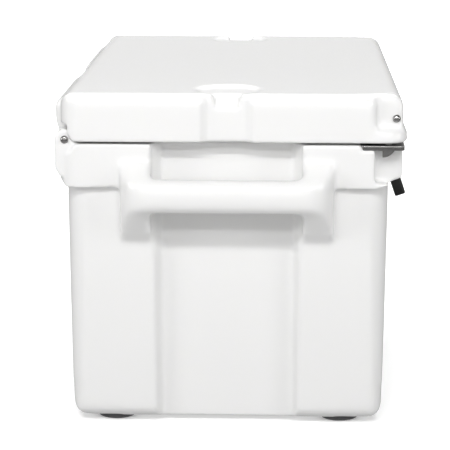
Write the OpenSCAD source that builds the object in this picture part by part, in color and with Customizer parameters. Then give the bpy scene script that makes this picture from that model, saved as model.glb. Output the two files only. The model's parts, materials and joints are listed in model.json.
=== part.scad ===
// Hard-sided cooler: a foam-filled double-walled body with two moulded grab handles and a
// hinged lid. x runs along the length, the latches face -y, the hinge is at +y, z is up.

/* [Body] */
// Height of the body's top rim above the ground
rim_z = 344.5; // [330:0.5:360]
// Height of the lower edge of the band round the top
band_z = 293; // [285:1:300]
// Length of the band and the lid
band_len = 606; // [596:2:616]
// Distance of the band's rear face from the middle plane
band_rear = 196.5; // [195:0.5:199]
// Distance of the band's front face from the middle plane
band_front = 205; // [203:0.5:207]
// Vertical corner radius of the band and the lid
corner_r = 22; // [18:1:26]
// Length of the tub below the band
tub_len = 588; // [580:2:592]
// Depth of the tub below the band
tub_depth = 380; // [376:1:382]
// How much narrower each side of the tub is at the bottom
tub_draft = 3.5; // [2:0.5:5]
// Vertical corner radius of the tub
tub_corner_r = 30; // [24:1:34]
// Edge radius round the bottom of the tub
tub_edge_r = 18; // [14:1:20]
// Thickness of the moulded skin
skin = 4; // [3:0.5:5]

/* [Storage space] */
// Length of the storage space
hold_len = 490; // [470:5:492]
// Depth of the storage space
hold_depth = 285; // [270:5:287]
// Height of the storage floor above the ground
hold_z = 54.5; // [50:0.5:60]
// Vertical corner radius of the storage space
hold_r = 24; // [16:1:30]

/* [End channels and handles] */
// Half width of the channel in each end face
channel_half = 88; // [84:1:90]
// Depth of the channel in each end face below the band
channel_deep = 18; // [14:1:20]
// Distance between the outer faces of the two handles
handle_span = 676; // [668:2:684]
// Thickness of a handle's bar, measured along the length
bar_thick = 30; // [26:1:32]
// Lower edge of a handle's bar
bar_low = 267; // [262:1:272]
// Upper edge of a handle's bar
bar_high = 308; // [304:1:312]
// Width of one handle arm
arm_w = 36; // [32:1:38]

/* [Lid] */
// Height of the lid's underside
lid_z = 347; // [346.5:0.5:348]
// Height of the lid's top
lid_top = 403; // [401:1:405]
// Distance of the lid's rear face from the middle plane
lid_rear = 195; // [194:0.5:196]
// Distance of the lid's front rim from the middle plane
lid_rim = 210.5; // [209:0.5:212]
// Height of the rim along the lid's lower edge
rim_h = 15; // [13:1:17]
// Edge radius along the lid's top
lid_edge_r = 15; // [12:1:18]
// Radius of the round dish near each end of the lid
dish_r = 36.5; // [34:0.5:38]
// Width of the strap notch at the end of each dish
notch_w = 28; // [26:1:32]

/* [Hinge] */
// Distance of the hinge line from the middle plane
hinge_y = 189.5; // [189:0.5:190]
// Height of the hinge line
hinge_z = 349; // [348.5:0.5:349.5]
// Outer radius of the hinge knuckles
knuckle_r = 12; // [11.5:0.1:12]
// Diameter of the hinge rod
hinge_rod_d = 6.35; // [6:0.05:6.4]
// Distance of the lid's rear bulges from the middle plane
bulge_rear = 206; // [204:0.5:208]

/* [Latches and lock plates] */
// Distance of each latch from the middle of the length
latch_x = 150; // [140:1:160]
// Distance of the latch pivot from the middle plane
latch_y = 196.7; // [196:0.1:197]
// Height of the latch pivot
latch_z = 375; // [373:0.5:376]
// Diameter of the latch rods
latch_rod_d = 5; // [4.8:0.1:5.2]
// Tilt of the latch's pull bar
latch_tilt = 19; // [15:1:20]
// Width of the latch's pull bar
latch_bar_w = 72; // [60:1:80]
// Length of a lock plate along the cooler
plate_len = 44; // [40:1:46]
// Width of a lock plate across the front corner
plate_w = 50.5; // [48:0.5:52]

/* [Feet and drain] */
// Diameter of the round feet
foot_d = 48; // [44:1:50]
// How far a foot stands below the body
foot_h = 6; // [5:0.5:7]
// Distance of the feet from the middle along the length
foot_x = 250; // [240:1:256]
// Distance of the feet from the middle plane
foot_y = 136; // [130:1:138]
// Height of the drain's axis
drain_z = 72; // [71:0.5:76]

/* [Hidden] */
$fn = 72;

far = 1000;                                    // longer than the whole cooler
eps = 0.01;                                    // slight overlap where two solids are joined
bar_tilt_in = 6.7;                             // half the latch bar's thickness
bar_drop = 31;                                 // length of the latch's pull bar
bar_foot = [-210, 263];                        // middle of the pull bar's lower face, y and z
front_reach = -bar_foot[0] + bar_tilt_in * cos(latch_tilt);
centre_y = (front_reach - bulge_rear) / 2;     // puts the outermost points evenly about y = 0
ear_end = 297;                                 // outer face of the end ears
ear_start = 273;                               // inner face of the end ears
mid_ear = 60;                                  // half length of the middle ear
ear_front = 172;                               // where the ears grow out of the body
ear_low = 305;
ear_back = hinge_y + knuckle_r;                // rear face of the ears
chamfer_run = 20.5;                            // relief along the body's upper rear edge
chamfer_drop = 24;
under_run = 31;                                // slanted underside of the band at the front
under_rise = 11;
bulge_start = 64;                              // the lid's hinge bulges run between these
bulge_end = 250;
bulge_top = 392;
swing_r = 18;                                  // room in the lid round each ear
step_x = 285;                                  // front corners of the band are set back here
step_y = 172;
step_z = 300;
facet_x = 291;                                 // front corners of the lid are set back here
facet_y = 173;
strap_half = 31;                               // shallow channel down the lid's ends
strap_lean = 7.5;
strap_deep = 5;
notch_deep = [3, 8, 18.5];                     // depth of the dish, the notch and its outer end
rim_edge_r = 6;                                // edge radius of the lid's rim
slot_half = 15;                                // latch slot in the band
slot_y = 190.5;
pocket_half = 23;                              // latch pocket in the lid
pocket_y = 183;
latch_knuckle_r = 9;
latch_w = 40;
neck_w = 26;
sheet = 2.5;                                   // lock plate's sheet thickness
plate_x = 301.5;                               // lock plate's outer face
plate_y = 206.4;
plate_drop = 5.5;                              // height of the lock plate's down-turned rim
plate_hole_r = 4.5;
plate_hole = [291.6, 188.5];
plate_screws = [[267, 168], [267, 193]];
plate_screw_r = 2.3;
countersink_r = 4;
countersink_h = 1.6;
tab_y = -180.6;                                // upper inner corner of the opener tab
tab_z = 347;
tab_r = 16;
pipe_r = 13;                                   // drain bushing
bushing_bore = 9.5;
flange_r = 23;
flange_h = 4;
drain_seal_r = 21;                             // soft washer behind the flange
drain_seal_h = 2;
nut_r = 17;
nut_h = 5.5;
washer_h = 3;                                  // round collar of the drain nut
ring_r = 16;                                   // seal ring under the plug's knob
knob_r = 19;
knob_h = 10;
finger_bar = [9, 8, 30];
channel_x = tub_len / 2 - channel_deep;        // floor of the end channels
bar_x = handle_span / 2;
hold_half = hold_len / 2;
dish_x = band_len / 2 - 50;                    // middle of the dish
fill_r = 14;                                   // fill port
foot_screw_r = 2.2;
foot_sink = 3;                                 // how deep a foot sits in the body
foot_edge = 1.5;
screw_seat = 3.5;                              // height of the seat under a foot screw's head
flange_x = channel_x + drain_seal_h;           // inner face of the drain's flange
panel_half = [238, 135];                       // raised panel under the lid
panel_z = 333;
seal_mid = [262, 158.5];                       // run of the lid seal
seal_w = 9;
seal_top = 353;

module in_place() {
    translate([0, centre_y, 0]) children();
}

// a rectangle with round corners, from its lower left to its upper right corner
module round_rect(x0, y0, x1, y1, r) {
    translate([x0 + r, y0]) square([x1 - x0 - 2 * r, y1 - y0]);
    translate([x0, y0 + r]) square([x1 - x0, y1 - y0 - 2 * r]);
    for (x = [x0 + r, x1 - r], y = [y0 + r, y1 - r]) translate([x, y]) circle(r);
}

// draws a y-z outline along x, between two x values
module along_x(x0, x1) {
    translate([x0, 0, 0]) rotate([90, 0, 90]) linear_extrude(x1 - x0) children();
}

// draws an x-z outline along y, between two y values
module along_y(y0, y1) {
    translate([0, y1, 0]) rotate([90, 0, 0]) linear_extrude(y1 - y0) children();
}

module rod_x(x0, x1, y, z, r) {
    translate([x0, y, z]) rotate([0, 90, 0]) cylinder(h = x1 - x0, r = r);
}

// block with round vertical corners, between two heights
module block(x_half, y0, y1, z0, z1, r) {
    translate([0, 0, z0]) linear_extrude(z1 - z0) round_rect(-x_half, y0, x_half, y1, r);
}

// ---------------------------------------------------------------- body
// outline of the tub seen along one axis, with a round lower edge; g is the inset
module tub_outline(half, g) {
    low = half - tub_draft - g;
    z0 = foot_h + g;
    r = tub_edge_r - g;
    polygon([[-low, z0 + r], [low, z0 + r], [half - g, band_z + 10], [g - half, band_z + 10]]);
    translate([-low + r, z0]) square([2 * (low - r), r + eps]);
    for (s = [-1, 1]) translate([s * (low - r), z0 + r]) circle(r);
}

module tub(g) {
    intersection() {
        along_x(-far, far) tub_outline(tub_depth / 2, g);
        along_y(-far, far) tub_outline(tub_len / 2, g);
        block(tub_len / 2 - g, g - tub_depth / 2, tub_depth / 2 - g, 0, far, tub_corner_r - g);
    }
}

// cross-section of the band, with its slanted lower edges and the relief at the hinge
module band_outline(g) {
    low = 8;
    polygon([[g - band_front + under_run, band_z + g], [g - band_front, band_z + under_rise + g],
        [g - band_front, rim_z - g], [band_rear - chamfer_run - g, rim_z - g],
        [band_rear - g, rim_z - chamfer_drop - g], [band_rear - g, band_z + low + g],
        [band_rear - low - g, band_z + g]]);
}

module band(g) {
    intersection() {
        along_x(-far, far) band_outline(g);
        block(band_len / 2 - g, g - band_front, band_rear - g, 0, far, corner_r - g);
    }
}

// channel down the middle of each end face; the sides lean outwards
module end_channel(side, g) {
    lean = 10;
    half = channel_half + g;
    deep = channel_x - g;
    mirror([side < 0 ? 1 : 0, 0, 0]) linear_extrude(rim_z + 1)
        polygon([[deep, -half + lean], [channel_x + 20 + g, -half], [far, -half],
            [far, half], [channel_x + 20 + g, half], [deep, half - lean]]);
}

// the outer form of the body without its ears and handles
module body_form(g) {
    difference() {
        union() {
            tub(g);
            band(g);
        }
        for (s = [-1, 1]) {
            end_channel(s, g);
            mirror([s < 0 ? 1 : 0, 0, 0]) {
                translate([step_x - g, -far, step_z - g]) cube([far, far - step_y + g, far]);
                translate([latch_x - slot_half - g, -far, band_z - 1])
                    cube([2 * (slot_half + g), far - slot_y + g, far]);
            }
        }
    }
}

module ear(x0, x1) {
    rod_x(x0, x1, hinge_y, hinge_z, knuckle_r);
    along_x(x0, x1) polygon([[ear_front, rim_z - 8], [hinge_y - knuckle_r, hinge_z], [ear_back, hinge_z],
        [ear_back, ear_low + 10], [band_rear - 1, ear_low], [ear_front, ear_low]]);
}

module handle() {
    inner = channel_half + 1;
    outer = inner + arm_w;
    r = 14.5;
    // bar
    along_y(-outer, outer) round_rect(bar_x - bar_thick, bar_low, bar_x, bar_high, r);
    // arms, deep where they meet the body
    for (s = [-1, 1]) mirror([0, s < 0 ? 1 : 0, 0]) along_y(inner, outer)
        polygon([[channel_x - 4, 326], [bar_x - 34, 324], [bar_x - 8, bar_high - 1],
            [bar_x - 9, bar_low + 2], [bar_x - 12, bar_low - 2], [tub_len / 2 + 2, 229],
            [tub_len / 2 - 2, 224], [channel_x - 4, 222]]);
}

module handle_pair() {
    r = 35;
    intersection() {
        for (s = [-1, 1]) mirror([s < 0 ? 1 : 0, 0, 0]) handle();
        block(bar_x, -channel_half - 1 - arm_w, channel_half + 1 + arm_w, 0, far, r);
    }
}

module storage_space() {
    block(hold_half, -hold_depth / 2, hold_depth / 2, hold_z, far, hold_r);
}

module storage_wall() {
    block(hold_half + skin, -hold_depth / 2 - skin, hold_depth / 2 + skin, hold_z - skin, far,
        hold_r + skin);
}

module foot_places() {
    for (x = [-foot_x, foot_x], y = [-foot_y, foot_y]) translate([x, y, 0]) children();
}

// rounded places that stay solid in the foam: screw bosses, fill port and the drain's sleeve
module bosses() {
    foot_places() cylinder(h = 34, r = 9);
    cylinder(h = hold_z, r = fill_r + 8);
    rod_x(hold_half, channel_x, 0, drain_z, pipe_r + skin);
    for (s = [-1, 1], p = plate_screws) translate([s * p[0], -p[1], rim_z - 30])
        cylinder(h = 40, r = 7);
}

module body_cavity() {
    difference() {
        body_form(skin);
        storage_wall();
        bosses();
        // solid ledge under the lock plates and a solid rib under the middle ear
        for (s = [-1, 1]) mirror([s < 0 ? 1 : 0, 0, 0])
            translate([plate_x - plate_len - 4, -far, rim_z - 12]) cube([far, far - 150, far]);
        translate([-mid_ear - 4, 168, 300]) cube([2 * mid_ear + 8, 40, 60]);
        for (s = [-1, 1]) mirror([s < 0 ? 1 : 0, 0, 0])
            translate([ear_start - 4, 166, 300]) cube([40, 40, 60]);
    }
}

module plate_recess() {
    for (s = [-1, 1]) mirror([s < 0 ? 1 : 0, 0, 0]) {
        translate([plate_x - plate_len - 0.5, -far, rim_z - sheet])
            cube([far, far - plate_y + plate_w + 0.5, far]);
        translate([plate_x - sheet - 1, -far, rim_z - plate_drop - 0.5])
            cube([far, far - plate_y + plate_w + 0.5, far]);
        translate([plate_x - plate_len - 0.5, -far, rim_z - plate_drop - 0.5])
            cube([far, far - plate_y + sheet + 1, far]);
        for (p = plate_screws) translate([p[0], -p[1], rim_z - 20]) cylinder(h = 30, r = 2);
    }
}

module body_shell() {
    color("whitesmoke") in_place() difference() {
        union() {
            difference() {
                union() {
                    body_form(0);
                    handle_pair();
                }
                body_cavity();
            }
            ear(-ear_end, -ear_start);
            ear(-mid_ear, mid_ear);
            ear(ear_start, ear_end);
        }
        storage_space();
        plate_recess();
        rod_x(-ear_end - 1, ear_end + 1, hinge_y, hinge_z, hinge_rod_d / 2 + 0.07);
        foot_places() {
            translate([0, 0, foot_h - 1]) cylinder(h = foot_sink + 1, r = foot_d / 2 + 0.2);
            cylinder(h = 28, r = foot_screw_r);
        }
        // fill port
        cylinder(h = hold_z - 8, r = fill_r);
        // drain
        rod_x(hold_half - 1, channel_x + 1, 0, drain_z, pipe_r + 0.2);
    }
}

module body_foam() {
    color("khaki") in_place() body_cavity();
}

// closing plug of a fill port: a disc with a collar, its face at height z
module fill_plug(z) {
    r = fill_r - 0.2;
    color("gainsboro") in_place() translate([0, 0, z]) difference() {
        cylinder(h = 12, r = r);
        translate([0, 0, 4]) cylinder(h = 12, r = r - 2.3);
    }
}

module body_fill_plug() {
    fill_plug(foot_h);
}

// ---------------------------------------------------------------- lid
module lid_outline(g) {
    r = lid_edge_r - g;
    front = band_front - g;
    rear = lid_rear - g;
    top = lid_top - g;
    low = lid_z + g;
    translate([-front, low]) square([front + rear, top - r - low]);
    translate([-front + r, low]) square([front + rear - 2 * r, top - low]);
    for (y = [-front + r, rear - r]) translate([y, top - r]) circle(r);
    round_rect(-lid_rim + g, low, 0, lid_z + rim_h - g, rim_edge_r - g);
}

module lid_end_outline(g) {
    r = lid_edge_r - 1 - g;
    half = band_len / 2 - g;
    top = lid_top - g;
    translate([-half, lid_z + g]) square([2 * half, top - r - lid_z - g]);
    translate([-half + r, lid_z + g]) square([2 * (half - r), top - lid_z - g]);
    for (s = [-1, 1]) translate([s * (half - r), top - r]) circle(r);
}

// knuckle and bulge along the lid's rear; g is the inset
module bulge_outline(g) {
    round_r = 12;
    back = bulge_rear - g;
    top = bulge_top - g;
    polygon([[165, top], [back - round_r, top], [back, top - round_r], [back, 366 + g],
        [ear_back - g, hinge_z + 2], [165, hinge_z + 2]]);
    translate([back - round_r, top - round_r]) circle(round_r);
    translate([hinge_y, hinge_z]) circle(knuckle_r - g);
}

module lid_form(g) {
    difference() {
        union() {
            intersection() {
                along_x(-far, far) lid_outline(g);
                along_y(-far, far) lid_end_outline(g);
                block(band_len / 2 - g, -lid_rim + g, lid_rear - g, 0, far, corner_r - g);
            }
            for (s = [-1, 1]) mirror([s < 0 ? 1 : 0, 0, 0])
                along_x(bulge_start + g, bulge_end - g) bulge_outline(g);
        }
        for (s = [-1, 1]) mirror([s < 0 ? 1 : 0, 0, 0]) {
            // dish, strap notch and strap channel
            translate([dish_x, 0, lid_top - notch_deep[0] - g]) cylinder(h = 20, r = dish_r + g);
            along_y(-notch_w / 2 - g, notch_w / 2 + g) polygon([[dish_x + 15, lid_top + 1],
                [dish_x + 15, lid_top - notch_deep[0] - g],
                [band_len / 2 - 24 - g, lid_top - notch_deep[1] - g],
                [band_len / 2, lid_top - notch_deep[2] - g], [far, lid_top - notch_deep[2] - g],
                [far, lid_top + 1]]);
            linear_extrude(far) polygon([[band_len / 2 - strap_deep - g, strap_lean - strap_half - g],
                [band_len / 2, -strap_half - g], [far, -strap_half - g], [far, strap_half + g],
                [band_len / 2, strap_half + g],
                [band_len / 2 - strap_deep - g, strap_half - strap_lean + g]]);
            // front corner above the rim
            translate([facet_x - g, -far, lid_z + rim_h - g]) cube([far, far - facet_y + g, far]);
            // latch pocket
            translate([latch_x - pocket_half - g, -far, lid_z - 1])
                cube([2 * (pocket_half + g), far - pocket_y + g, 390 - lid_z + 1 + g]);
            // room round the end ears
            rod_x(ear_start - 2 - g, ear_end + 0.6 + g, hinge_y, hinge_z, swing_r + g);
            // slanted cheek in front of the end ears
            along_x(ear_end, far) polygon([[lid_rear - 15.5 - g, 0],
                [lid_rear - 15.5 - g, lid_z + g], [lid_rear, lid_z + 16 + g], [far, lid_z + 16 + g],
                [far, 0]]);
        }
        rod_x(-mid_ear - 2, mid_ear + 2, hinge_y, hinge_z, swing_r + g);
    }
}

module lid_bosses() {
    // solid round the latch rods, the hinge knuckles, the seal's groove and the fill port
    for (s = [-1, 1]) mirror([s < 0 ? 1 : 0, 0, 0])
        rod_x(90, far, -latch_y, latch_z, 7);
    translate([-far, 176, 0]) cube([2 * far, far, hinge_z + 16]);
    seal_ring(seal_w + 8, lid_z, seal_top + 3.5);
    cylinder(h = 365, r = 20);
}

module lid_cavity() {
    difference() {
        union() {
            lid_form(skin);
            panel(skin);
        }
        lid_bosses();
    }
}

module panel(g) {
    block(panel_half[0] - g, g - panel_half[1], panel_half[1] - g, panel_z + g,
        lid_z + 2 * skin, hold_r - g);
}

module seal_ring(w, z0, z1) {
    difference() {
        block(seal_mid[0] + w / 2, -seal_mid[1] - w / 2, seal_mid[1] + w / 2, z0, z1, 30);
        block(seal_mid[0] - w / 2, -seal_mid[1] + w / 2, seal_mid[1] - w / 2, z0 - 1, z1 + 1,
            30 - w);
    }
}

module lid_shell() {
    color("whitesmoke") in_place() difference() {
        union() {
            lid_form(0);
            panel(0);
        }
        lid_cavity();
        seal_ring(seal_w, lid_z - 1, seal_top);
        rod_x(-ear_end - 1, ear_end + 1, hinge_y, hinge_z, hinge_rod_d / 2 + 0.07);
        for (s = [-1, 1]) mirror([s < 0 ? 1 : 0, 0, 0])
            rod_x(110, far, -latch_y, latch_z, latch_rod_d / 2 + 0.1);
        // fill port
        translate([0, 0, panel_z - 1]) cylinder(h = 24, r = fill_r);
    }
}

module lid_foam() {
    color("khaki") in_place() lid_cavity();
}

module lid_fill_plug() {
    fill_plug(panel_z);
}

module lid_gasket() {
    color("dimgray") in_place() {
        seal_ring(seal_w, lid_z - 0.6, seal_top);
        seal_ring(seal_w - 4, rim_z + 0.2, lid_z);
    }
}

// ---------------------------------------------------------------- hinge
module dome_head(r, h) {
    intersection() {
        cylinder(h = h, r = r);
        translate([0, 0, h - 1.4 * r]) sphere(1.4 * r);
    }
}

module hinge_rod() {
    color("silver") in_place() {
        rod_x(-ear_end, ear_end + 1.5, hinge_y, hinge_z, hinge_rod_d / 2);
        translate([-ear_end, hinge_y, hinge_z]) rotate([0, -90, 0]) dome_head(4.7, 3);
    }
}

module hinge_rod_cap() {
    color("silver") in_place() translate([ear_end, hinge_y, hinge_z]) rotate([0, 90, 0])
        difference() {
            dome_head(4.7, 3);
            translate([0, 0, -1]) cylinder(h = 2.5, r = hinge_rod_d / 2);
        }
}

// ---------------------------------------------------------------- latches
module latch(side) {
    color([0.06, 0.06, 0.06]) in_place() translate([side * latch_x, 0, 0]) difference() {
        union() {
            rod_x(-latch_w / 2, latch_w / 2, -latch_y, latch_z, latch_knuckle_r);
            // neck
            translate([-neck_w / 2, -201, 280]) cube([neck_w, 9, latch_z - 280]);
            translate([-latch_w / 2, -201, 349]) cube([latch_w, 9, latch_z - 349]);
            // pull bar
            translate([0, bar_foot[0], bar_foot[1]]) rotate([-latch_tilt, 0, 0])
                translate([-latch_bar_w / 2, -bar_tilt_in, 0])
                    linear_extrude(bar_drop) round_rect(0, 0, latch_bar_w, 2 * bar_tilt_in, 4);
        }
        rod_x(-far, far, -latch_y, latch_z, latch_rod_d / 2 + 0.05);
    }
}

module latch_left() {
    latch(-1);
}

module latch_right() {
    latch(1);
}

module latch_rod(side) {
    color("silver") in_place() mirror([side < 0 ? 1 : 0, 0, 0]) {
        rod_x(111, facet_x, -latch_y, latch_z, latch_rod_d / 2);
        translate([facet_x, -latch_y, latch_z]) rotate([0, 90, 0]) dome_head(4.75, 3.4);
    }
}

module latch_rod_left() {
    latch_rod(-1);
}

module latch_rod_right() {
    latch_rod(1);
}

// ---------------------------------------------------------------- lock plates
module lock_plate(side) {
    x0 = plate_x - plate_len;
    y1 = plate_w - plate_y;
    color("silver") in_place() mirror([side < 0 ? 1 : 0, 0, 0]) difference() {
        union() {
            translate([0, 0, rim_z - sheet]) linear_extrude(sheet)
                round_rect(x0, -plate_y, plate_x, y1, 4);
            // down-turned rim along the end and the front
            translate([0, 0, rim_z - plate_drop]) linear_extrude(plate_drop) difference() {
                round_rect(x0, -plate_y, plate_x, y1, 4);
                translate([x0 - 10, -plate_y + sheet]) square([plate_x - x0 + 10 - sheet, far]);
            }
            // quarter-round opener tab under the plate's end
            intersection() {
                rod_x(plate_x - sheet, plate_x, tab_y, tab_z, tab_r);
                translate([0, tab_y - tab_r, tab_z - tab_r])
                    cube([far, tab_r, rim_z - sheet - tab_z + tab_r]);
            }
        }
        translate([plate_hole[0], -plate_hole[1], rim_z - 20]) cylinder(h = 40, r = plate_hole_r);
        for (p = plate_screws) translate([p[0], -p[1], rim_z - 20]) {
            cylinder(h = 40, r = plate_screw_r);
            translate([0, 0, 20 - countersink_h])
                cylinder(h = countersink_h + 0.1, r1 = plate_screw_r, r2 = countersink_r);
        }
    }
}

module lock_plate_left() {
    lock_plate(-1);
}

module lock_plate_right() {
    lock_plate(1);
}

module lock_plate_screws() {
    color("silver") in_place() for (s = [-1, 1], p = plate_screws)
        translate([s * p[0], -p[1], 0]) {
            translate([0, 0, rim_z - 19]) cylinder(h = 18, r = 1.9);
            translate([0, 0, rim_z - countersink_h]) cylinder(h = countersink_h - 0.1,
                r1 = plate_screw_r - 0.1, r2 = countersink_r - 0.2);
        }
}

// ---------------------------------------------------------------- feet
module foot(sx, sy) {
    color([0.2, 0.2, 0.2]) in_place() translate([sx * foot_x, sy * foot_y, 0]) difference() {
        union() {
            cylinder(h = foot_edge, r1 = foot_d / 2 - foot_edge, r2 = foot_d / 2);
            translate([0, 0, foot_edge])
                cylinder(h = foot_h + foot_sink - foot_edge, r = foot_d / 2);
        }
        translate([0, 0, -1]) cylinder(h = 20, r = foot_screw_r + 0.4);
        translate([0, 0, -1]) cylinder(h = screw_seat + 1, r = 6.5);
    }
}

module foot_front_left() {
    foot(-1, -1);
}

module foot_front_right() {
    foot(1, -1);
}

module foot_rear_left() {
    foot(-1, 1);
}

module foot_rear_right() {
    foot(1, 1);
}

module foot_screws() {
    color("silver") in_place() foot_places() {
        translate([0, 0, screw_seat]) cylinder(h = 22, r = foot_screw_r - 0.1);
        translate([0, 0, 1]) cylinder(h = screw_seat - 1, r = 4.5);
    }
}

// ---------------------------------------------------------------- drain
module drain_bushing() {
    color([0.15, 0.15, 0.15]) in_place() difference() {
        union() {
            rod_x(hold_half - 9, flange_x, 0, drain_z, pipe_r);
            rod_x(flange_x, flange_x + flange_h, 0, drain_z, flange_r);
        }
        rod_x(0, far, 0, drain_z, bushing_bore);
    }
}

module drain_nut() {
    color([0.15, 0.15, 0.15]) in_place() difference() {
        union() {
            rod_x(hold_half - washer_h, hold_half, 0, drain_z, nut_r);
            translate([hold_half - washer_h - nut_h + 0.5, 0, drain_z]) rotate([0, 90, 0])
                cylinder(h = nut_h, r = nut_r, $fn = 6);
        }
        rod_x(0, far, 0, drain_z, pipe_r);
    }
}

module drain_gasket() {
    color([0.1, 0.1, 0.1]) in_place() difference() {
        rod_x(channel_x, flange_x, 0, drain_z, drain_seal_r);
        rod_x(0, far, 0, drain_z, pipe_r);
    }
}

module drain_plug() {
    knob_x = flange_x + flange_h + drain_seal_h;
    color([0.12, 0.12, 0.12]) in_place() difference() {
        union() {
            rod_x(hold_half + 4, knob_x, 0, drain_z, bushing_bore - 0.3);
            rod_x(knob_x, knob_x + knob_h, 0, drain_z, knob_r);
            translate([knob_x + knob_h - 1, -finger_bar[1] / 2, drain_z - finger_bar[2] / 2])
                cube(finger_bar);
        }
        rod_x(0, knob_x - 6, 0, drain_z, 5);
    }
}

module drain_plug_ring() {
    color([0.1, 0.1, 0.1]) in_place() difference() {
        rod_x(flange_x + flange_h, flange_x + flange_h + drain_seal_h, 0, drain_z, ring_r);
        rod_x(0, far, 0, drain_z, bushing_bore);
    }
}

body_shell();
body_foam();
body_fill_plug();
lid_shell();
lid_foam();
lid_fill_plug();
lid_gasket();
hinge_rod();
hinge_rod_cap();
latch_left();
latch_right();
latch_rod_left();
latch_rod_right();
lock_plate_left();
lock_plate_right();
lock_plate_screws();
foot_front_left();
foot_front_right();
foot_rear_left();
foot_rear_right();
foot_screws();
drain_bushing();
drain_nut();
drain_gasket();
drain_plug();
drain_plug_ring();
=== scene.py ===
import json
import math
import bmesh
import bpy
from mathutils import Matrix, Vector


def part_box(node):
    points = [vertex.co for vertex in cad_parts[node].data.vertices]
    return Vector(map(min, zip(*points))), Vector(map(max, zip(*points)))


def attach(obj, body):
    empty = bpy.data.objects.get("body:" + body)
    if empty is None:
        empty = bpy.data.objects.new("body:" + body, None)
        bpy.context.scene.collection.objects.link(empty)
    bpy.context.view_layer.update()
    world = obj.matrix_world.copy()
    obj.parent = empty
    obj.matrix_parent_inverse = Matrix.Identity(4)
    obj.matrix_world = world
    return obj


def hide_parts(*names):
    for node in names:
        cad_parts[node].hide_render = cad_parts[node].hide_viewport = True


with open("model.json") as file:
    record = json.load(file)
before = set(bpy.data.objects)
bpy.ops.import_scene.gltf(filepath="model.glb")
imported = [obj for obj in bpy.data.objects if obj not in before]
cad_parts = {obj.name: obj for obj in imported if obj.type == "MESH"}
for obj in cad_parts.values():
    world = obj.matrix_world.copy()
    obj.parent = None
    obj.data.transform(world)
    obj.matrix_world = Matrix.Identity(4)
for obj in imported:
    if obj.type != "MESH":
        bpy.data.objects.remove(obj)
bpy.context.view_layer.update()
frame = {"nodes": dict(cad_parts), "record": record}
scene = bpy.context.scene
joints = {joint["name"]: joint for joint in frame["record"]["behaviour"]["joints"]}
print("frame loaded")


view = {
    "place": (-2.3203, -0.0640, 0.7044),
    "turn": 2.016,      # degrees towards the hinge side
    "tilt": 12.689,     # degrees downwards
    "lens": 141.36,     # millimetres
    "sensor": 36,
}


def addCamera():
    lens = bpy.data.cameras.new("camera")
    lens.lens = view["lens"]
    lens.sensor_width = view["sensor"]
    lens.dof.use_dof = False
    camera = bpy.data.objects.new("camera", lens)
    turn = math.radians(view["turn"])
    tilt = math.radians(view["tilt"])
    level = math.cos(tilt)
    heading = Vector((math.cos(turn) * level, math.sin(turn) * level, -math.sin(tilt)))
    camera.location = view["place"]
    camera.rotation_euler = heading.to_track_quat("-Z", "Y").to_euler()
    scene.collection.objects.link(camera)
    scene.camera = camera


addCamera()


def addObject(name, bm):
    mesh = bpy.data.meshes.new(name)
    bm.to_mesh(mesh)
    bm.free()
    obj = bpy.data.objects.new(name, mesh)
    scene.collection.objects.link(obj)
    return obj


def settle(obj):
    # applies the modifiers
    graph = bpy.context.evaluated_depsgraph_get()
    mesh = bpy.data.meshes.new_from_object(obj.evaluated_get(graph))
    obj.modifiers.clear()
    old = obj.data
    obj.data = mesh
    bpy.data.meshes.remove(old)
    mesh.name = obj.name
    return obj


def combine(obj, bm, how):
    bmesh.ops.recalc_face_normals(bm, faces=bm.faces)
    other = addObject("tool", bm)
    step = obj.modifiers.new("combine", "BOOLEAN")
    step.operation = how
    step.solver = "EXACT"
    step.object = other
    settle(obj)
    mesh = other.data
    bpy.data.objects.remove(other)
    bpy.data.meshes.remove(mesh)
    return obj


def roundEdges(bm, edges, size, steps):
    bmesh.ops.bevel(bm, geom=edges, offset=size, offset_type="OFFSET", segments=steps,
                    profile=0.5, affect="EDGES", clamp_overlap=True, material=-1)


def addBlock(bm, low, high):
    made = bmesh.ops.create_cube(bm, size=1)["verts"]
    low, high = Vector(low), Vector(high)
    bmesh.ops.scale(bm, verts=made, vec=high - low)
    bmesh.ops.translate(bm, verts=made, vec=(low + high) / 2)
    return made


def addRod(bm, start, end, radius, steps=16):
    start, end = Vector(start), Vector(end)
    along = end - start
    turn = Vector((0, 0, 1)).rotation_difference(along).to_matrix().to_4x4()
    place = Matrix.Translation((start + end) / 2) @ turn
    bmesh.ops.create_cone(bm, cap_ends=True, segments=steps, radius1=radius, radius2=radius,
                          depth=along.length, matrix=place)


def lathe(outline, origin, axis, steps=48):
    # spins an outline of (distance along the axis, radius) pairs
    bm = bmesh.new()
    verts = [bm.verts.new((radius, 0, along)) for along, radius in outline]
    edges = [bm.edges.new(pair) for pair in zip(verts, verts[1:])]
    bmesh.ops.spin(bm, geom=verts + edges, cent=(0, 0, 0), axis=(0, 0, 1), angle=2 * math.pi,
                   steps=steps, use_merge=True)
    bmesh.ops.remove_doubles(bm, verts=bm.verts, dist=1e-6)
    bmesh.ops.recalc_face_normals(bm, faces=bm.faces)
    turn = Vector((0, 0, 1)).rotation_difference(Vector(axis)).to_matrix().to_4x4()
    bmesh.ops.transform(bm, matrix=Matrix.Translation(origin) @ turn, verts=bm.verts)
    return bm


def dome(base, height, radius, steps=8):
    # outline of a domed head, from its rim to its top
    turns = [math.pi / 2 * step / steps for step in range(steps + 1)]
    return [(base + height * math.sin(turn), radius * math.cos(turn)) for turn in turns]


def shade(obj, angle=35):
    obj.data.shade_smooth()
    obj.data.set_sharp_from_angle(angle=math.radians(angle))
    return obj


def nodeCopy(node):
    bm = bmesh.new()
    bm.from_mesh(frame["nodes"][node].data)
    bmesh.ops.remove_doubles(bm, verts=bm.verts, dist=1e-6)
    return bm


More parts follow.
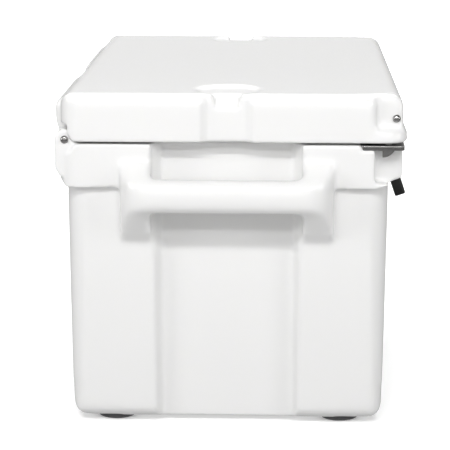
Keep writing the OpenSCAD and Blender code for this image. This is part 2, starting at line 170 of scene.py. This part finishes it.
def outerSkin(node, name):
    # a moulded shell without the closed hollow that its foam fills
    bm = nodeCopy(node)
    left = set(bm.faces)
    islands = []
    while left:
        island = []
        todo = [left.pop()]
        while todo:
            face = todo.pop()
            island.append(face)
            near = {other for edge in face.edges for other in edge.link_faces} & left
            left -= near
            todo.extend(near)
        islands.append(island)

    def reach(island):
        places = [vert.co.x for face in island for vert in face.verts]
        return max(places) - min(places)

    islands.sort(key=reach)
    hidden = [face for island in islands[:-1] for face in island]
    bmesh.ops.delete(bm, geom=hidden, context="FACES")
    return addObject(name, bm)


def crisp(node, name, size, steps=3, angle=30):
    # a machined or stamped part: the node's shape with its edges broken
    bm = nodeCopy(node)
    bmesh.ops.dissolve_limit(bm, angle_limit=math.radians(1), verts=bm.verts, edges=bm.edges)
    least = math.radians(angle)
    sharp = [edge for edge in bm.edges if edge.is_manifold and edge.calc_face_angle() > least]
    roundEdges(bm, sharp, size, steps)
    return addObject(name, bm)


def fuse(obj, voxel):
    step = obj.modifiers.new("fuse", "REMESH")
    step.mode = "VOXEL"
    step.voxel_size = voxel
    return settle(obj)


def soften(obj, rounds, inside=None):
    # rounds every edge, or only those in one place
    bm = bmesh.new()
    bm.from_mesh(obj.data)
    chosen = [vert for vert in bm.verts if inside is None or inside(*vert.co)]
    for _ in range(rounds):
        bmesh.ops.smooth_vert(bm, verts=chosen, factor=0.5,
                              use_axis_x=True, use_axis_y=True, use_axis_z=True)
    bm.to_mesh(obj.data)
    bm.free()
    return obj


def thin(obj, faces):
    count = sum(len(face.vertices) - 2 for face in obj.data.polygons)
    if count > faces:
        step = obj.modifiers.new("thin", "DECIMATE")
        step.ratio = faces / count
        settle(obj)
    return obj


def newMaterial(name):
    # the last thing given back is the place on the piece, for patterns
    material = bpy.data.materials.new(name)
    material.use_nodes = True
    nodes = material.node_tree.nodes
    where = nodes.new("ShaderNodeTexCoord").outputs["Object"]
    return material, nodes, material.node_tree.links, nodes["Principled BSDF"], where


def noise(nodes, links, where, scale, detail=2):
    texture = nodes.new("ShaderNodeTexNoise")
    texture.inputs["Scale"].default_value = scale
    texture.inputs["Detail"].default_value = detail
    links.new(where, texture.inputs["Vector"])
    return texture.outputs["Fac"]


patternRange = (0.3, 0.7)       # most of a noise pattern lies between these


def spread(nodes, links, source, low, high):
    # turns a pattern into a value between low and high
    step = nodes.new("ShaderNodeMapRange")
    step.inputs["From Min"].default_value, step.inputs["From Max"].default_value = patternRange
    step.inputs["To Min"].default_value = low
    step.inputs["To Max"].default_value = high
    links.new(source, step.inputs["Value"])
    return step.outputs["Result"]


def tint(nodes, links, source, first, second):
    # turns a pattern into a colour between first and second
    ramp = nodes.new("ShaderNodeValToRGB")
    for stop, position, colour in zip(ramp.color_ramp.elements, patternRange, (first, second)):
        stop.position = position
        stop.color = (*colour, 1)
    links.new(source, ramp.inputs["Fac"])
    return ramp.outputs["Color"]


def bump(nodes, links, shader, layers):
    # each layer is a pattern, its strength and its depth in metres
    last = None
    for source, strength, distance in layers:
        step = nodes.new("ShaderNodeBump")
        step.inputs["Strength"].default_value = strength
        step.inputs["Distance"].default_value = distance
        links.new(source, step.inputs["Height"])
        if last:
            links.new(last, step.inputs["Normal"])
        last = step.outputs["Normal"]
    links.new(last, shader.inputs["Normal"])


plastic = {
    "dark": (0.792, 0.790, 0.785),
    "light": (0.798, 0.796, 0.791),
    "gloss": (0.22, 0.26),      # least and most roughness
    "speck": 1100,              # grain of the colour
    "peel": 420,                # grain of the moulded surface
    "peelDepth": (0.10, 0.0003),
    "waves": 24,                # slow waves in the moulded walls
    "waveDepth": (0.02, 0.002),
    "milkiness": 0.1,           # how much light goes in under the skin
    "milkDepth": (0.006, 0.006, 0.005),
    "bending": 1.5,
}


def mouldedPlastic():
    material, nodes, links, shader, where = newMaterial("mouldedPlastic")
    patches = noise(nodes, links, where, plastic["speck"])
    peel = noise(nodes, links, where, plastic["peel"])
    waves = noise(nodes, links, where, plastic["waves"], 1)
    colour = tint(nodes, links, patches, plastic["dark"], plastic["light"])
    links.new(colour, shader.inputs["Base Color"])
    links.new(spread(nodes, links, patches, *plastic["gloss"]), shader.inputs["Roughness"])
    bump(nodes, links, shader, [(peel, *plastic["peelDepth"]), (waves, *plastic["waveDepth"])])
    shader.inputs["Subsurface Weight"].default_value = plastic["milkiness"]
    shader.inputs["Subsurface Radius"].default_value = plastic["milkDepth"]
    shader.inputs["IOR"].default_value = plastic["bending"]
    return material


rubberLook = {
    "patches": 40,
    "grainDepth": (0.25, 0.0002),
    "uneven": (-0.06, 0.08),    # either side of a finish's own roughness
    "sheen": 0.3,
}


def rubber(name, dark, light, roughness, grain=900):
    material, nodes, links, shader, where = newMaterial(name)
    fine = noise(nodes, links, where, grain, 3)
    patches = noise(nodes, links, where, rubberLook["patches"], 3)
    least, most = (roughness + change for change in rubberLook["uneven"])
    links.new(tint(nodes, links, patches, dark, light), shader.inputs["Base Color"])
    links.new(spread(nodes, links, patches, least, most), shader.inputs["Roughness"])
    bump(nodes, links, shader, [(fine, *rubberLook["grainDepth"])])
    shader.inputs["Specular IOR Level"].default_value = rubberLook["sheen"]
    return material


# painted shade: the steel's base colours are kept dark to stand in for the reflections of a dark
# room, the same in every light; the smudges only vary that tone at random
steel = {
    "dark": (0.27, 0.265, 0.26),
    "light": (0.34, 0.335, 0.33),
    "gloss": (0.12, 0.22),
    "smudges": 60,
    "lines": 160,
    "stretch": (1, 14, 14),     # draws the lines out along the length
    "lineDepth": (0.06, 0.0001),
}


def stainless():
    material, nodes, links, shader, where = newMaterial("stainless")
    stretch = nodes.new("ShaderNodeMapping")
    stretch.inputs["Scale"].default_value = steel["stretch"]
    links.new(where, stretch.inputs["Vector"])
    lines = noise(nodes, links, stretch.outputs["Vector"], steel["lines"], 3)
    smudges = noise(nodes, links, where, steel["smudges"], 3)
    # the dark base colour is painted shade, standing in for dark reflections
    colour = tint(nodes, links, smudges, steel["dark"], steel["light"])
    links.new(colour, shader.inputs["Base Color"])
    links.new(spread(nodes, links, lines, *steel["gloss"]), shader.inputs["Roughness"])
    bump(nodes, links, shader, [(lines, *steel["lineDepth"])])
    shader.inputs["Metallic"].default_value = 1
    return material


foam = {
    "dark": (0.70, 0.60, 0.36),
    "light": (0.80, 0.72, 0.48),
    "gloss": (0.85, 0.95),
    "cells": 400,
    "cellDepth": (0.4, 0.0008),
    "patches": 20,
}


def pouredFoam():
    material, nodes, links, shader, where = newMaterial("pouredFoam")
    cells = nodes.new("ShaderNodeTexVoronoi")
    cells.inputs["Scale"].default_value = foam["cells"]
    links.new(where, cells.inputs["Vector"])
    patches = noise(nodes, links, where, foam["patches"], 4)
    colour = tint(nodes, links, patches, foam["dark"], foam["light"])
    links.new(colour, shader.inputs["Base Color"])
    links.new(spread(nodes, links, patches, *foam["gloss"]), shader.inputs["Roughness"])
    bump(nodes, links, shader, [(cells.outputs["Distance"], *foam["cellDepth"])])
    return material


finishes = {
    "shell_plastic": mouldedPlastic(),
    "latch_rubber": rubber("latchRubber", dark=(0.007, 0.007, 0.007),
                           light=(0.014, 0.014, 0.014), roughness=0.4),
    "foot_rubber": rubber("footRubber", dark=(0.075, 0.075, 0.077),
                          light=(0.105, 0.105, 0.107), roughness=0.7),
    "seal_rubber": rubber("sealRubber", dark=(0.18, 0.18, 0.185),
                          light=(0.23, 0.23, 0.235), roughness=0.65),
    "drain_plastic": rubber("drainPlastic", dark=(0.020, 0.020, 0.020),
                            light=(0.035, 0.035, 0.035), roughness=0.4, grain=500),
    "plug_plastic": rubber("plugPlastic", dark=(0.68, 0.68, 0.67),
                           light=(0.74, 0.74, 0.73), roughness=0.45, grain=500),
    "stainless": stainless(),
    "foam": pouredFoam(),
}
print("finishes made")


def place(obj, ridesOn, slot, *nodes):
    obj.data.materials.clear()
    obj.data.materials.append(finishes[slot])
    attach(obj, ridesOn)
    if nodes:
        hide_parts(*nodes)
    return obj


def keepNode(node, slot):
    for spot in frame["nodes"][node].material_slots:
        spot.link = "OBJECT"
        spot.material = finishes[slot]


moulding = {
    "voxel": 0.0021,
    "quickVoxel": 0.0045,
    "faces": 190000,
    "smoothAngle": 60,
}
voxel = moulding["voxel"]
roundingScale = (moulding["voxel"] / voxel) ** 2


def roundsFor(rounds):
    # fewer rounds on a coarser mesh give the same radius
    return max(1, round(rounds * roundingScale))


bodyShape = {
    "middle": 0.005,            # of the body, from front to rear
    "rounds": 3,                # rounding of every edge
    "earRounds": 1,             # crisper beside the hinge
    "earStart": (0.165, 0.285),
    "handleRounds": 34,         # the bar and the arms outside the end wall
    "endWall": 0.3055,
    "handleTop": 0.343,
    "rootRounds": 8,            # where the arms grow out of the end wall
    "rootStart": 0.272,
    "rootAcross": (0.08, 0.14),
    "rootHeight": (0.205, 0.335),
    "cornerRounds": 36,         # lower corners
    "cornerStart": (0.245, 0.128),
    "cornerTop": 0.052,
}


def makeBody():
    piece = fuse(outerSkin("body_shell", "bodyMoulding"), voxel)
    shape = bodyShape
    earRear, earLow = shape["earStart"]
    rootNear, rootFar = shape["rootAcross"]
    rootLow, rootHigh = shape["rootHeight"]
    cornerEnd, cornerSide = shape["cornerStart"]

    def atEar(x, y, z):
        return y > earRear and z > earLow

    def atHandle(x, y, z):
        return abs(x) > shape["endWall"] and z < shape["handleTop"]

    def atRoot(x, y, z):
        return (shape["rootStart"] < abs(x) < shape["endWall"]
                and rootNear < abs(y - shape["middle"]) < rootFar and rootLow < z < rootHigh)

    def atLowCorner(x, y, z):
        return (abs(x) > cornerEnd and abs(y - shape["middle"]) > cornerSide
                and z < shape["cornerTop"])

    soften(piece, roundsFor(shape["earRounds"]))
    soften(piece, roundsFor(shape["rounds"]), lambda *at: not atEar(*at))
    soften(piece, roundsFor(shape["rootRounds"]), atRoot)
    soften(piece, roundsFor(shape["handleRounds"]), atHandle)
    soften(piece, roundsFor(shape["cornerRounds"]), atLowCorner)
    soften(piece, roundsFor(shape["rounds"]), lambda *at: atRoot(*at) or atHandle(*at))
    thin(piece, moulding["faces"])
    place(shade(piece, moulding["smoothAngle"]), "body", "shell_plastic", "body_shell")
    print("body made", len(piece.data.polygons))


notch = {
    "start": 0.277,         # along the length, where the sides begin to lean
    "foot": 0.0138,         # half width at the bottom and at the top
    "mouth": 0.0178,
    "depths": (0.0072, 0.0182),     # over the lid, and past its end
    "below": 0.01,          # how far the cutting block goes before it is leaned
    "above": 0.004,
    "past": 0.002,
}


def leanNotch(piece, middle):
    # the sides of the strap notch lean outwards
    low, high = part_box("lid_shell")
    for hand in (-1, 1):
        ends = sorted((hand * notch["start"], hand * (high.x + notch["past"])))
        bm = bmesh.new()
        block = addBlock(bm, (ends[0], middle - notch["foot"], high.z - notch["below"]),
                         (ends[1], middle + notch["foot"], high.z + notch["above"]))
        for vert in block:
            if vert.co.z > high.z:
                vert.co.y = middle + (vert.co.y - middle) * notch["mouth"] / notch["foot"]
            else:
                vert.co.z = high.z - notch["depths"][abs(vert.co.x) > high.x]
        combine(piece, bm, "DIFFERENCE")


lidShape = {
    "rounds": 3,                # rounding of every edge
    "bulgeRounds": 12,          # hinge bulges along the rear
    "bulgeStart": (0.193, 0.362),
    "bulgeSpan": (0.04, 0.28),
    "cornerRounds": 22,         # front corners
    "cornerEnd": 0.27,
    "cornerFront": -0.145,
    "cornerLow": 0.352,
    "dishRounds": 10,           # round each dish beside a notch
    "dishPlace": 0.253,
    "dishRadius": 0.044,
    "dishLow": 0.396,
}


def makeLid():
    plugLow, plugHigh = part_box("lid_fill_plug")
    middle = (plugLow.y + plugHigh.y) / 2
    piece = outerSkin("lid_shell", "lidMoulding")
    leanNotch(piece, middle)
    fuse(piece, voxel)
    shape = lidShape
    bulgeRear, bulgeLow = shape["bulgeStart"]
    bulgeInner, bulgeOuter = shape["bulgeSpan"]

    def atBulge(x, y, z):
        return y > bulgeRear and bulgeInner < abs(x) < bulgeOuter and z > bulgeLow

    def atCorner(x, y, z):
        return abs(x) > shape["cornerEnd"] and y < shape["cornerFront"] and z > shape["cornerLow"]

    def atDish(x, y, z):
        away = math.hypot(abs(x) - shape["dishPlace"], y - middle)
        return z > shape["dishLow"] and away < shape["dishRadius"]

    soften(piece, roundsFor(shape["rounds"]))
    soften(piece, roundsFor(shape["dishRounds"]), atDish)
    soften(piece, roundsFor(shape["bulgeRounds"]), atBulge)
    soften(piece, roundsFor(shape["cornerRounds"]), atCorner)
    thin(piece, moulding["faces"])
    place(shade(piece, moulding["smoothAngle"]), "lid", "shell_plastic", "lid_shell")
    print("lid made", len(piece.data.polygons))


makeBody()
makeLid()


edges = {                       # how far each piece's edges are rounded
    "seal": 0.0018,
    "fillPlug": 0.0006,
    "lockPlate": 0.0006,
    "screw": 0.0003,
    "foot": 0.0022,
    "drain": 0.0005,
}

# seal, foam and fill plugs
place(shade(crisp("lid_gasket", "lidSeal", edges["seal"], 4)), "lid", "seal_rubber", "lid_gasket")
for side in ("body", "lid"):
    keepNode(side + "_foam", "foam")
    plug = side + "_fill_plug"
    place(shade(crisp(plug, side + "FillPlug", edges["fillPlug"])), side, "plug_plastic", plug)
print("seal, foam and plugs made")


rods = {
    "hinge": 0.003175,      # radius
    "latch": 0.0025,
    "latchHead": 0.0034,    # height
    "capGap": 0.0001,       # between the hinge rod and its cap
    "smoothAngle": 40,
}


def makeHingeRod():
    low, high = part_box("hinge_rod")
    capLow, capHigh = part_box("hinge_rod_cap")
    headRadius = (capHigh.z - capLow.z) / 2
    headHeight = capHigh.x - capLow.x
    start = low.x + headHeight
    centre = Vector(joints["lid_hinge"]["pos_m"])
    line = Vector((0, centre.y, centre.z))
    outline = [(-low.x, 0)] + [(a, r) for a, r in reversed(dome(-start, headHeight, headRadius))]
    outline += [(-start, rods["hinge"]), (-high.x, rods["hinge"]), (-high.x, 0)]
    piece = addObject("hingeRod", lathe(outline, line, (-1, 0, 0)))
    place(shade(piece, rods["smoothAngle"]), "body", "stainless", "hinge_rod")
    cap = dome(capLow.x, headHeight, headRadius)
    cap = [(capLow.x, rods["hinge"] + rods["capGap"])] + cap
    piece = addObject("hingeRodCap", lathe(cap, line, (1, 0, 0)))
    place(shade(piece, rods["smoothAngle"]), "body", "stainless", "hinge_rod_cap")


def makeLatchRod(side, hand):
    low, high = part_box("latch_rod_" + side)
    pivot = Vector(joints["latch_" + side + "_swing"]["pos_m"])
    line = Vector((0, pivot.y, pivot.z))
    inner, outer = (high.x, low.x) if hand < 0 else (low.x, high.x)
    inner, outer = abs(inner), abs(outer)
    headHeight = rods["latchHead"]
    headRadius = (high.z - low.z) / 2
    outline = [(inner, 0), (inner, rods["latch"]), (outer - headHeight, rods["latch"])]
    outline += dome(outer - headHeight, headHeight, headRadius)
    piece = addObject("latchRod" + side.capitalize(), lathe(outline, line, (hand, 0, 0)))
    place(shade(piece, rods["smoothAngle"]), "lid", "stainless", "latch_rod_" + side)


makeHingeRod()
for side, hand in (("left", -1), ("right", 1)):
    makeLatchRod(side, hand)
print("rods made")


latch = {
    "voxel": 0.0009,
    "quickVoxel": 0.0018,
    "rounds": 4,            # rounding of every edge
    "quickRounds": 1,
    "faces": 60000,
    "smoothAngle": 60,
    "ribs": 4,
    "ribRadius": 0.0016,
    "ribReach": 0.011,      # half of a rib's length
    "ribForward": 0.0043,   # in front of the latch rod
    "lowestRib": 0.300,
    "ribSpacing": 0.011,
}


def makeLatch(side):
    pivot = Vector(joints["latch_" + side + "_swing"]["pos_m"])
    piece = addObject("latch" + side.capitalize(), nodeCopy("latch_" + side))
    tools = bmesh.new()
    front = pivot.y - latch["ribForward"]
    left, right = pivot.x - latch["ribReach"], pivot.x + latch["ribReach"]
    for rib in range(latch["ribs"]):
        height = latch["lowestRib"] + rib * latch["ribSpacing"]
        addRod(tools, (left, front, height), (right, front, height), latch["ribRadius"])
    combine(piece, tools, "UNION")
    fuse(piece, latch["voxel"])
    soften(piece, latch["rounds"])
    thin(piece, latch["faces"])
    place(shade(piece, latch["smoothAngle"]), "latch_" + side, "latch_rubber", "latch_" + side)
    print("latch made", side, len(piece.data.polygons))


for side in ("left", "right"):
    makeLatch(side)


# lock plates, feet, drain and screws
for side in ("left", "right"):
    plate = crisp("lock_plate_" + side, "lockPlate" + side.capitalize(), edges["lockPlate"])
    place(shade(plate), "body", "stainless", "lock_plate_" + side)
for node, name in (("lock_plate_screws", "lockPlateScrews"), ("foot_screws", "footScrews")):
    place(shade(crisp(node, name, edges["screw"], 2)), "body", "stainless", node)
for end in ("front", "rear"):
    for side in ("left", "right"):
        node = "foot_" + end + "_" + side
        foot = crisp(node, "foot" + end.capitalize() + side.capitalize(), edges["foot"], 4)
        place(shade(foot), "body", "foot_rubber", node)
drain = (
    ("drain_bushing", "drainBushing", "body", "drain_plastic"),
    ("drain_nut", "drainNut", "body", "drain_plastic"),
    ("drain_gasket", "drainGasket", "body", "seal_rubber"),
    ("drain_plug", "drainPlug", "drain_plug", "drain_plastic"),
    ("drain_plug_ring", "drainPlugRing", "drain_ring", "seal_rubber"),
)
for node, name, ridesOn, slot in drain:
    place(shade(crisp(node, name, edges["drain"])), ridesOn, slot, node)
print("hardware made")


studio = {
    "floorSize": 60,
    "floorTone": (0.93, 0.93, 0.93, 1),
    "floorRoughness": 0.9,
    "floorSheen": 0.1,
    "nearGlow": 0.2,        # floor beside the cooler
    "farGlow": 1.0,         # floor far behind it
    "glowReach": (0.6, 2.4),
    "horizon": 0.22,        # brightness of the room all round
    "lift": 0.62,           # light that comes back up from below
    "liftFrom": -0.7,       # the lift is whole when looking down this steeply
}
softboxes = {
    "overhead": {"spot": (1.2, 0, 2.2), "target": (0.2, 0, 0.3),
        "size": (2.6, 1.6), "power": 42},
    "rear": {"spot": (2.2, 0, 2.0), "target": (0.2, 0, 0.3),
        "size": (2.4, 1.2), "power": 24},
    "strip": {"spot": (-2.0, 0.1, 1.9), "target": (-0.25, 0, 0.3),
        "size": (2.4, 0.16), "power": 30},
    "lowerStrip": {"spot": (-2.3, 0.1, 1.45), "target": (-0.25, 0, 0.3),
        "size": (2.4, 0.16), "power": 13},
    "low": {"spot": (-2.6, 0.1, 0.6), "target": (-0.3, 0, 0.3),
        "size": (2.4, 0.5), "power": 7},
    "left": {"spot": (-1.6, 2.6, 1.0), "target": (0, 0, 0.2),
        "size": (0.9, 1.4), "power": 26},
    "right": {"spot": (-1.6, -2.6, 1.0), "target": (0, 0, 0.2),
        "size": (0.9, 1.4), "power": 22.5},
}


def addFloor():
    bm = bmesh.new()
    bmesh.ops.create_grid(bm, x_segments=1, y_segments=1, size=studio["floorSize"] / 2)
    floor = addObject("floor", bm)
    material, nodes, links, shader, where = newMaterial("paleFloor")
    shader.inputs["Base Color"].default_value = studio["floorTone"]
    shader.inputs["Roughness"].default_value = studio["floorRoughness"]
    shader.inputs["Specular IOR Level"].default_value = studio["floorSheen"]
    shader.inputs["Emission Color"].default_value = (1, 1, 1, 1)
    # the glow grows with the distance from the cooler
    away = nodes.new("ShaderNodeVectorMath")
    away.operation = "LENGTH"
    links.new(where, away.inputs[0])
    glow = nodes.new("ShaderNodeMapRange")
    glow.interpolation_type = "SMOOTHSTEP"
    near, far = studio["glowReach"]
    glow.inputs["From Min"].default_value = near
    glow.inputs["From Max"].default_value = far
    glow.inputs["To Min"].default_value = studio["nearGlow"]
    glow.inputs["To Max"].default_value = studio["farGlow"]
    links.new(away.outputs["Value"], glow.inputs["Value"])
    links.new(glow.outputs["Result"], shader.inputs["Emission Strength"])
    floor.data.materials.append(material)
    floor.visible_diffuse = floor.visible_glossy = False


def addSoftbox(name, spot, target, size, power):
    lamp = bpy.data.lights.new(name, "AREA")
    lamp.shape = "RECTANGLE"
    lamp.size, lamp.size_y = size
    lamp.energy = power
    obj = bpy.data.objects.new(name, lamp)
    obj.location = spot
    obj.rotation_euler = (Vector(target) - Vector(spot)).to_track_quat("-Z", "Y").to_euler()
    scene.collection.objects.link(obj)


def addRoom():
    # even all round, with a soft lift from below in place of the floor's own bounce
    room = bpy.data.worlds.new("room")
    room.use_nodes = True
    nodes, links = room.node_tree.nodes, room.node_tree.links
    coords = nodes.new("ShaderNodeTexCoord")
    split = nodes.new("ShaderNodeSeparateXYZ")
    links.new(coords.outputs["Generated"], split.inputs["Vector"])
    rise = nodes.new("ShaderNodeMapRange")
    rise.interpolation_type = "SMOOTHSTEP"
    rise.inputs["From Min"].default_value = 0.0
    rise.inputs["From Max"].default_value = studio["liftFrom"]
    rise.inputs["To Min"].default_value = studio["horizon"]
    rise.inputs["To Max"].default_value = studio["lift"]
    links.new(split.outputs["Z"], rise.inputs["Value"])
    links.new(rise.outputs["Result"], nodes["Background"].inputs["Strength"])
    nodes["Background"].inputs["Color"].default_value = (1, 1, 1, 1)
    scene.world = room


addFloor()
addRoom()
for name, box in softboxes.items():
    addSoftbox(name, **box)
scene.view_settings.view_transform = "Standard"
print("studio made")
